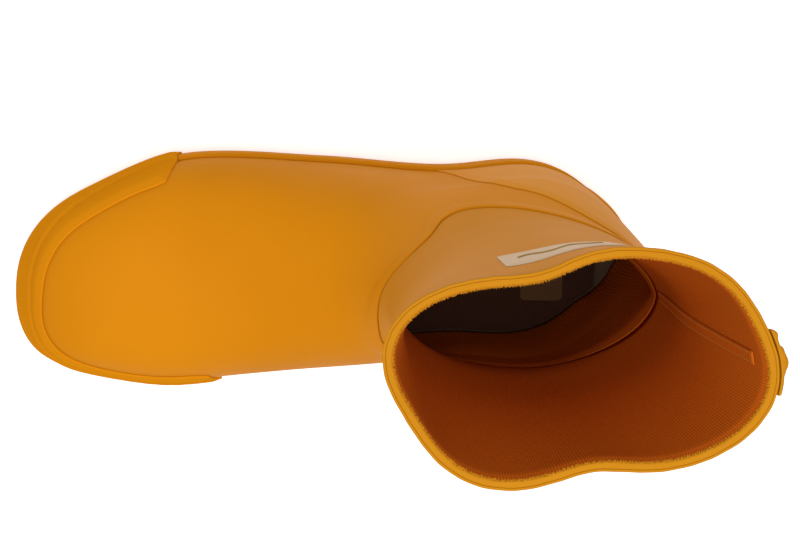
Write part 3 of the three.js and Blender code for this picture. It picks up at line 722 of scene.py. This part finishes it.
# THE LINING'S BACK SEAM
# A narrow tape over the seam at the back of the lining, zigzag-stitched along both edges with
# thread only a little paler than the knit, so that the stitches show as two faint rows.
tape_width = 6.0
tape_face = leg_face - gap
tape_low = 132.0
tape_high = boot_height - 10
stitch_pitch = 2.6
thread = rubber("thread", (0.50, 0.16, 0.03, 1), (0.42, 0.13, 0.02, 1), 0.8, 0.03)


def make_tape():
    z = np.linspace(tape_low, tape_high, 60)[:, None]
    w = tape_width * (even_ends(16)[None, :] - 0.5)
    thick = 0.55 * rolled(tape_width / 2 - np.abs(w) + 0.02, 1.6) + 0.05 * np.sin(z * 4.8)
    return sheet("lining_seam_tape", w / around_at(z), z, tape_face, tape_face - thick, leg_knit,
                 closed=False)


def group_tree(name, inputs):
    """A geometry tree with named number inputs; gives the tree, its maker and its input sockets."""
    tree = bpy.data.node_groups.new(name, "GeometryNodeTree")
    tree.interface.new_socket("Geometry", in_out="INPUT", socket_type="NodeSocketGeometry")
    for label, kind in inputs:
        tree.interface.new_socket(label, in_out="INPUT", socket_type=kind)
    tree.interface.new_socket("Geometry", in_out="OUTPUT", socket_type="NodeSocketGeometry")
    add = node_maker(tree)
    entry = add("NodeGroupInput")
    return tree, add, entry.outputs


def close_tree(add, instances, material):
    """Realised instances with one material, out of the tree."""
    real = add("GeometryNodeRealizeInstances", {"Geometry": instances})
    dressed = add("GeometryNodeSetMaterial", {"Geometry": real.outputs["Geometry"]})
    dressed.inputs["Material"].default_value = material
    add("NodeGroupOutput", {"Geometry": dressed.outputs["Geometry"]})


def grown(name, points, fields, tree, values):
    """Runs a tree on loose points that carry vector fields, and gives its result as a mesh."""
    mesh = bpy.data.meshes.new(name + "_points")
    mesh.from_pydata(points.tolist(), [], [])
    for label, vectors in fields.items():
        layer = mesh.attributes.new(label, "FLOAT_VECTOR", "POINT")
        layer.data.foreach_set("vector", np.asarray(vectors, float).ravel())
    seedbed = bpy.data.objects.new(name + "_points", mesh)
    bpy.context.collection.objects.link(seedbed)
    modifier = seedbed.modifiers.new("grow", "NODES")
    modifier.node_group = tree
    for item in tree.interface.items_tree:
        if item.item_type == "SOCKET" and item.in_out == "INPUT" and item.name in values:
            modifier[item.identifier] = values[item.name]
    view = seedbed.evaluated_get(bpy.context.evaluated_depsgraph_get())
    made = bpy.data.meshes.new_from_object(view)
    bpy.data.objects.remove(seedbed)
    made.name = name
    piece = bpy.data.objects.new(name, made)
    bpy.context.collection.objects.link(piece)
    return piece


def turned_along(add):
    """The node whose rotation turns an instance's own Z to its point's 'along' field."""
    way = add("GeometryNodeInputNamedAttribute", {"Name": "along"}, data_type="FLOAT_VECTOR")
    return add("FunctionNodeAlignRotationToVector", {"Vector": way.outputs["Attribute"]}, axis="Z")


def stitch_tree(material):
    """Rods of thread laid at each point, along its 'along' field."""
    tree, add, given = group_tree("stitches", (
        ("Length", "NodeSocketFloat"), ("Thickness", "NodeSocketFloat")))
    rod = add("GeometryNodeMeshUVSphere", {"Segments": 8, "Rings": 6, "Radius": 0.5})
    turn = turned_along(add)
    size = add("ShaderNodeCombineXYZ", {
        "X": given["Thickness"], "Y": given["Thickness"], "Z": given["Length"]})
    laid = add("GeometryNodeInstanceOnPoints", {
        "Points": given["Geometry"], "Instance": rod.outputs["Mesh"],
        "Rotation": turn.outputs["Rotation"], "Scale": size.outputs["Vector"]})
    close_tree(add, laid.outputs["Instances"], material)
    return tree


def make_stitches():
    z = np.arange(tape_low + 2, tape_high - 1, stitch_pitch)
    spots, ways = [], []
    for side in (-1, 1):
        for slope in (-1, 1):
            edge = side * (tape_width / 2 - 0.9) / around_at(z)
            level = z + (stitch_pitch / 2 if slope > 0 else 0)
            face = np.full(z.shape, tape_face - 0.6)
            here = place(edge, level, face)
            ahead = place(edge + slope * 0.7 / around_at(z), level + 1.1, face)
            spots.append(here)
            ways.append(ahead - here)
    return grown("seam_stitches", np.concatenate(spots), {"along": np.concatenate(ways)},
                 stitch_tree(thread), {"Length": 1.3 * mm, "Thickness": 0.34 * mm})


tape = make_tape()
settle(tape, "lining", "lining_tape")
stitches = make_stitches()
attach(stitches, "boot")

# THE RIM'S FIBRES
# The hem's frayed edge: short fibres of the lining, soaked with rubber, that point inwards all
# round the opening like a fine comb, each a few tenths of a millimetre thick.
fibre_count = 3000
fibre_level = boot_height - 0.7
fibre_stuff = rubber("rim_fibre", (0.60, 0.25, 0.012, 1), (0.50, 0.19, 0.008, 1), 0.75, 0.05)


def fibre_tree(material):
    """Tapered fibres that stand at each point along its 'along' field, of uneven length."""
    tree, add, given = group_tree("fibres", (
        ("Length", "NodeSocketFloat"), ("Thickness", "NodeSocketFloat"),
        ("Seed", "NodeSocketInt")))
    spike = add("GeometryNodeMeshCone", {
        "Vertices": 5, "Radius Top": 0.18, "Radius Bottom": 0.5, "Depth": 1.0})
    turn = turned_along(add)
    chance = add("FunctionNodeRandomValue", {2: 0.55, 3: 1.25, "Seed": given["Seed"]},
                 data_type="FLOAT")
    length = maths_maker(add)("MULTIPLY", chance.outputs[1], given["Length"])
    size = add("ShaderNodeCombineXYZ", {
        "X": given["Thickness"], "Y": given["Thickness"], "Z": length})
    laid = add("GeometryNodeInstanceOnPoints", {
        "Points": given["Geometry"], "Instance": spike.outputs["Mesh"],
        "Rotation": turn.outputs["Rotation"], "Scale": size.outputs["Vector"]})
    close_tree(add, laid.outputs["Instances"], material)
    return tree


def make_fibres():
    draw = np.random.default_rng(7)
    u = (np.arange(fibre_count) + draw.uniform(-0.4, 0.4, fibre_count)) / fibre_count
    root = draw.uniform(-3.05, -2.5, fibre_count)
    level = fibre_level + draw.uniform(-0.5, 0.4, fibre_count)
    here = place(u, level, root)
    lean = draw.uniform(0.6, 1.1, fibre_count)
    slip = draw.normal(0, 0.5, fibre_count) / around_at(fibre_level)
    ahead = place(u + slip, level + 0.15, root - lean)
    return grown("rim_fibres", here, {"along": ahead - here}, fibre_tree(fibre_stuff),
                 {"Length": 0.9 * mm, "Thickness": 0.3 * mm, "Seed": 3})


fibres = make_fibres()
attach(fibres, "boot")

# THE BADGE
# A moulded plate bonded to the outer side of the leg under the rim, blank but for a plain wave.
badge_x, badge_z = 72.0, boot_height - 37
badge_length, badge_height, badge_wall = 44.0, 28.0, 0.6
badge_under = gap - 0.25
badge_stuff = rubber("badge_rubber", (0.62, 0.43, 0.28, 1), (0.56, 0.39, 0.25, 1), 0.5)
wave_stuff = rubber("badge_gold", (0.34, 0.20, 0.030, 1), (0.30, 0.17, 0.025, 1), 0.35)


def rounded_plate(length, width, along_count, across_count, corner=2.0):
    """A grid of places on a plate with rounded corners, about its middle."""
    a = 2 * even_ends(along_count)[None, :] - 1
    b = 2 * even_ends(across_count)[:, None] - 1
    past = np.clip(np.abs(b) * width / 2 - (width / 2 - corner), 0, corner)
    x = a * (length / 2 - corner + np.sqrt(corner**2 - past**2))
    return x, b * width / 2 + 0 * x


def make_badge_plate():
    x, z = rounded_plate(badge_length, badge_height, 60, 40)
    x, z = badge_x + x, badge_z + z
    under = np.full(z.shape, badge_under)
    return patch("badge_blank", u_at(x, z, -1), z, under, badge_wall, 0.5, badge_stuff)


def make_badge_wave():
    reach, swing, half_line, wall = 0.36 * badge_length, 2.2, 1.3, 0.45
    t = np.linspace(-1, 1, 90)[None, :]
    b = 2 * even_ends(10)[:, None] - 1
    z = badge_z + swing * np.sin(2 * math.pi * t) + half_line * b
    under = np.full(z.shape, badge_under + badge_wall + 0.05)
    u = u_at(badge_x + t * reach + 0 * z, z, -1)
    return patch("badge_wave_line", u, z, under, wall, 0.5, wave_stuff)


settle(make_badge_plate(), "badge", "badge_plate")
settle(make_badge_wave(), "gold", "badge_wave")

# THE OUTSOLE
# A moulded plate under the boot with rows of siped blocks under the forefoot and the heel, and
# a bare arch between them. The rows stand where the frame's tread bars stand.
sole_top = 8.7
lug_pitch, lug_length, lug_inset = 12.0, 8.0, 3.0
block_width, sipe = 6.2, 0.9
sole_rubber = rubber("sole_rubber", (0.42, 0.15, 0.010, 1), (0.33, 0.11, 0.008, 1), 0.6)


def slab(name, low, high, offset, radius, material, x_from=-1e3, x_to=1e3, crown=0.0):
    """A board that fills the outline, rounded along its edges, made of lines across the foot."""
    level = (low + high) / 2
    outer_ends = u_at(np.array([x_from, x_to]), level, -1)
    inner_ends = u_at(np.array([x_from, x_to]), level, 1)
    t = even_ends(150)
    u_out = outer_ends[0] + (outer_ends[1] - outer_ends[0]) * t
    u_in = inner_ends[0] + (inner_ends[1] - inner_ends[0]) * t
    across = even_ends(28)
    edge = rolled(np.minimum(across, 1 - across) * 90, 3.0)
    sides = []
    for face in (1, -1):
        out = place(u_out, level, offset)
        inn = place(u_in, level, offset)
        grid = out[:, None] * (1 - across[None, :, None]) + inn[:, None] * across[None, :, None]
        half = (high - low) / 2
        round_over = half - radius + radius * edge
        lift = face * round_over + (crown * np.sin(math.pi * across) if face > 0 else 0)
        grid[..., 2] += lift[None, :] * mm
        sides.append(grid)
    rows, cols = sides[0].shape[:2]
    verts = np.concatenate(sides).reshape(-1, 3)
    index = np.arange(2 * rows * cols).reshape(2, rows, cols)

    def quads(grid, flip):
        corners = [grid[:-1, :-1], grid[1:, :-1], grid[1:, 1:], grid[:-1, 1:]]
        return np.stack(corners[::-1] if flip else corners, -1).reshape(-1, 4)

    faces = np.concatenate([
        quads(index[0], False), quads(index[1], True),
        quads(np.stack([index[1, :, 0], index[0, :, 0]], 1), False),
        quads(np.stack([index[0, :, -1], index[1, :, -1]], 1), False),
        quads(np.stack([index[1, 0], index[0, 0]]), False),
        quads(np.stack([index[0, -1], index[1, -1]]), False),
    ])
    flat = verts[faces][..., :2] / mm
    return make_mesh(name, verts, faces, flat, material)


def block_tree(material):
    """A pair of tapered half blocks, with a sipe between them, at each point."""
    tree, add, given = group_tree("tread_blocks", (
        ("Length", "NodeSocketFloat"), ("Width", "NodeSocketFloat"),
        ("Depth", "NodeSocketFloat"), ("Sipe", "NodeSocketFloat")))
    maths = maths_maker(add)
    half = maths("MULTIPLY", maths("SUBTRACT", given["Length"], given["Sipe"]), 0.5)
    shift = maths("MULTIPLY", maths("ADD", half, given["Sipe"]), 0.5)
    size = add("ShaderNodeCombineXYZ", {"X": half, "Y": given["Width"], "Z": given["Depth"]})
    cube = add("GeometryNodeMeshCube", {"Size": size.outputs["Vector"], "Vertices X": 3,
                                        "Vertices Y": 4, "Vertices Z": 3})
    spot = add("GeometryNodeInputPosition").outputs["Position"]
    parts = add("ShaderNodeSeparateXYZ", {"Vector": spot})
    lowness = add("ShaderNodeMapRange", {"Value": parts.outputs["Z"], "To Min": 0.9, "To Max": 1.0})
    tree.links.new(maths("MULTIPLY", given["Depth"], -0.5), lowness.inputs["From Min"])
    tree.links.new(maths("MULTIPLY", given["Depth"], 0.1), lowness.inputs["From Max"])
    taper = add("ShaderNodeCombineXYZ", {
        "X": maths("MULTIPLY", parts.outputs["X"], lowness.outputs["Result"]),
        "Y": maths("MULTIPLY", parts.outputs["Y"], lowness.outputs["Result"]),
        "Z": parts.outputs["Z"]})
    tapered = add("GeometryNodeSetPosition", {
        "Geometry": cube.outputs["Mesh"], "Position": taper.outputs["Vector"]})
    ways = []
    for sign in (1, -1):
        move = add("ShaderNodeCombineXYZ", {"X": maths("MULTIPLY", shift, sign)})
        ways.append(add("GeometryNodeTransform", {
            "Geometry": tapered.outputs["Geometry"], "Translation": move.outputs["Vector"]}))
    pair = add("GeometryNodeJoinGeometry")
    for way in ways:
        tree.links.new(way.outputs["Geometry"], pair.inputs["Geometry"])
    laid = add("GeometryNodeInstanceOnPoints", {
        "Points": given["Geometry"], "Instance": pair.outputs["Geometry"]})
    close_tree(add, laid.outputs["Instances"], material)
    return tree


def make_blocks():
    spots = []
    for start, end in ((12, 92), (128, 284)):
        for x in np.arange(start, end - lug_length + 0.1, lug_pitch):
            centre = x + lug_length / 2
            outer_y, inner_y = (
                max(on_face(u_at(reach, 2.0, side), 2.0)[1] * side for reach in (centre,)) * side
                for side in (-1, 1))
            narrow = min(
                abs(on_face(u_at(np.array(float(c)), 2.0, side), 2.0)[1] - (outer_y + inner_y) / 2)
                for c in (x, x + lug_length) for side in (-1, 1))
            room = narrow - lug_inset
            count = max(2, int(2 * room / (block_width + 1.0)))
            gap_y = (2 * room - count * block_width) / (count - 1)
            for k in range(count):
                y = (outer_y + inner_y) / 2 - room + block_width / 2 + k * (block_width + gap_y)
                bend = toe_bend * boot_length
                lift = toe_spring * max((centre - bend) / (boot_length - bend), 0) ** 2
                spots.append((centre, float(y), tread_depth / 2 + 0.1 + lift))
    points = np.array(spots) * mm + heel_point
    return grown("tread_blocks", points, {}, block_tree(sole_rubber), {
        "Length": lug_length * mm, "Width": block_width * mm, "Depth": (tread_depth + 0.2) * mm,
        "Sipe": sipe * mm})


settle(slab("sole_plate", tread_depth, sole_top, 0.0, 0.6, sole_rubber), "tread", "outsole")
blocks = make_blocks()
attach(blocks, "boot")

# THE FOOTBED
# A loose foam sole with a thin knit face and a blank woven label at the heel. It lies on the
# insole board and lifts out by its heel, so it rides on its own body.
foam, foam_shader, foam_add = new_material("footbed_foam", 0.9)
foam_cells = foam_add("ShaderNodeTexVoronoi", {
    "Vector": foam_add("ShaderNodeTexCoord").outputs["Object"], "Scale": 900.0})
foam_bump = foam_add("ShaderNodeBump", {
    "Height": foam_cells.outputs["Distance"], "Strength": 0.4, "Distance": 0.0004})
foam.node_tree.links.new(foam_bump.outputs["Normal"], foam_shader.inputs["Normal"])
foam_shader.inputs["Base Color"].default_value = (0.06, 0.035, 0.02, 1)
footbed_inset = foot_face - lining_wall - 2.0
label_x, label_y = 46.0, -2.0
footbed_ends = {"x_from": 16.3, "x_to": 282.0}
# In each knit pair the second colour is painted shade in the grooves.
bed_knit = knit("footbed_knit", (0.075, 0.030, 0.018, 1), (0.045, 0.018, 0.011, 1))
label_weave = knit("label_weave", (0.15, 0.08, 0.035, 1), (0.12, 0.06, 0.025, 1))

footbed = slab("footbed_foam_pad", 15.1, 19.6, footbed_inset, 1.2, foam, **footbed_ends)
settle(footbed, "foam", "footbed", body="footbed")
cloth = slab("footbed_face", 19.9, 20.7, footbed_inset, 0.3, bed_knit, crown=0.2, **footbed_ends)
settle(cloth, "lining", "footbed_cloth", body="footbed")


def make_label():
    """A thin plate with rounded corners, laid flat on the footbed's face."""
    x, y = rounded_plate(20.0, 42.0, 40, 16)
    x, y = x + label_x, y + label_y
    sides = [np.stack([x, y, np.full(x.shape, height)], -1) for height in (21.4, 21.0)]
    verts = np.concatenate(sides).reshape(-1, 3) * mm + heel_point
    rows, cols = x.shape
    index = np.arange(2 * rows * cols).reshape(2, rows, cols)

    def quads(grid):
        corners = [grid[:-1, :-1], grid[:-1, 1:], grid[1:, 1:], grid[1:, :-1]]
        return np.stack(corners, -1).reshape(-1, 4)

    faces = np.concatenate([
        quads(index[0]), quads(index[1])[:, ::-1],
        quads(np.stack([index[1, 0], index[0, 0]])), quads(np.stack([index[0, -1], index[1, -1]])),
        quads(np.stack([index[0, :, 0], index[1, :, 0]])),
        quads(np.stack([index[1, :, -1], index[0, :, -1]])),
    ])
    return make_mesh("footbed_tag", verts, faces, verts[faces][..., :2] / mm, label_weave)


settle(make_label(), "label", "footbed_label", body="footbed")

# WHAT IS HIDDEN
# Inside the rubber lie the insole board, the fillers with the steel shank between them, and the
# stiffeners at the heel, the toe and the ankles. They keep the frame's own shapes.
# The fibre board has a dark grain of its own, darkened further as painted shade so that where it
# shows deep in the boot it reads dark.
fibre_board_painted_shade, board_shader, board_add = new_material("fibre_board_painted_shade", 0.85)
felt, felt_shader, felt_add = new_material("felt", 0.95)
steel, steel_shader, steel_add = new_material("shank_steel", 0.35, Metallic=1.0)
hidden_finishes = (
    (fibre_board_painted_shade, board_shader, board_add, (0.12, 0.07, 0.035, 1), (0.08, 0.045, 0.02, 1), 180.0),
    (felt, felt_shader, felt_add, (0.13, 0.09, 0.055, 1), (0.08, 0.05, 0.03, 1), 400.0),
    (steel, steel_shader, steel_add, (0.55, 0.56, 0.58, 1), (0.45, 0.45, 0.47, 1), 60.0),
)
for material, shader, add, light, deep, scale in hidden_finishes:
    spot = add("ShaderNodeTexCoord").outputs["Object"]
    grain = add("ShaderNodeTexNoise", {"Vector": spot, "Scale": scale, "Detail": 4.0})
    ramp = add("ShaderNodeValToRGB", {"Fac": grain.outputs["Fac"]})
    ramp.color_ramp.elements[0].color = deep
    ramp.color_ramp.elements[1].color = light
    bump = add("ShaderNodeBump", {
        "Height": grain.outputs["Fac"], "Strength": 0.2, "Distance": 0.0003})
    material.node_tree.links.new(ramp.outputs["Color"], shader.inputs["Base Color"])
    material.node_tree.links.new(bump.outputs["Normal"], shader.inputs["Normal"])
hidden_nodes = {
    "insole_board": fibre_board_painted_shade, "shank": steel, "heel_filler": felt, "forefoot_filler": felt,
    "heel_stiffener": felt, "toe_puff": felt, "ankle_patch_outer": felt, "ankle_patch_inner": felt,
}
for node, material in hidden_nodes.items():
    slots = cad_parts[node].data.materials
    slots.clear()
    slots.append(material)

# THE STUDIO
# A pale floor with painted light: it glows a little, which washes out the boot's shadow on it and
# lights the boot from below; one wide soft light overhead and an even white surround.
floor_mesh = bpy.data.meshes.new("studio_floor")
floor_mesh.from_pydata([(-4, -4, 0), (4, -4, 0), (4, 4, 0), (-4, 4, 0)], [], [(0, 1, 2, 3)])
studio_floor = bpy.data.objects.new("studio_floor", floor_mesh)
bpy.context.collection.objects.link(studio_floor)
paper, paper_shader, _ = new_material("studio_paper", 0.9)
paper_shader.inputs["Base Color"].default_value = (0.93, 0.93, 0.92, 1)
paper_shader.inputs["Emission Color"].default_value = (1, 1, 1, 1)
# The floor's glow is painted light that fills in the boot's cast shadow on the floor.
paper_shader.inputs["Emission Strength"].default_value = 0.4
floor_mesh.materials.append(paper)

light = bpy.data.lights.new("overhead", "AREA")
light.shape = "SQUARE"
light.size = 1.6
light.energy = 34
lamp = bpy.data.objects.new("overhead", light)
lamp.location = (0.05, 0.1, 1.7)
lamp.rotation_euler = [math.radians(angle) for angle in (-3, 1, 0)]
bpy.context.collection.objects.link(lamp)
world = bpy.data.worlds.new("studio")
world.use_nodes = True
world.node_tree.nodes["Background"].inputs["Color"].default_value = (1, 1, 1, 1)
world.node_tree.nodes["Background"].inputs["Strength"].default_value = 0.32
scene = bpy.context.scene
scene.world = world
scene.view_settings.view_transform = "Standard"
scene.view_settings.look = "None"

camera = bpy.data.cameras.new("camera")
camera.lens = 89.7
camera.sensor_width = 36
eye = bpy.data.objects.new("camera", camera)
eye.location = np.array([198.6, -168.9, 941.5]) * mm + heel_point
eye.rotation_euler = Euler([math.radians(angle) for angle in (-10.82, -4.95, -178.3)])
bpy.context.collection.objects.link(eye)
scene.camera = eye
